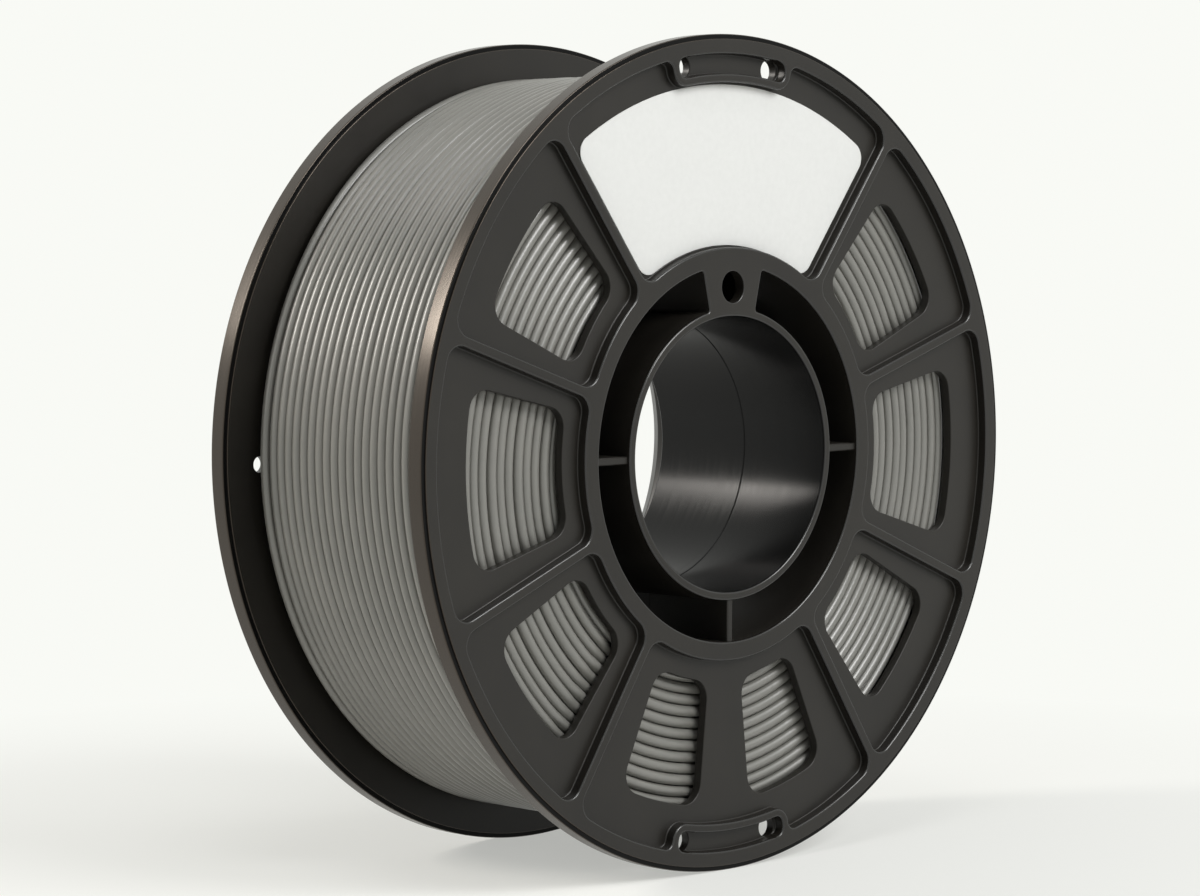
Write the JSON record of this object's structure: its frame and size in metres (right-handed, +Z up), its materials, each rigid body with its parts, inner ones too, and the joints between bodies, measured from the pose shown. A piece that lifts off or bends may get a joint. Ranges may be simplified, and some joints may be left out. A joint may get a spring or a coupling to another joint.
{
  "type": "filament spool",
  "caption": "Spool of filament for a 3D printer: two moulded halves snapped together, with wide flanges, side windows and a large through bore.",
  "frame": {"origin": "on the spool's axis, halfway between its two faces", "axes": "+Y along the bore from the labelled front flange to the rear flange, +Z up through the label's middle, +X to the right as the label is read"},
  "size_m": [0.2, 0.074, 0.2],
  "materials": {
    "spool_plastic": "black moulded plastic, satin",
    "filament": "extruded grey strand, semi-gloss",
    "label_paper": "white self-adhesive film label, matte"
  },
  "bodies": {
    "root": {"front_half": "spool_plastic", "rear_half": "spool_plastic", "filament_core": "filament", "filament_outer_layer": "filament", "label": "label_paper"}
  },
  "joints": []
}
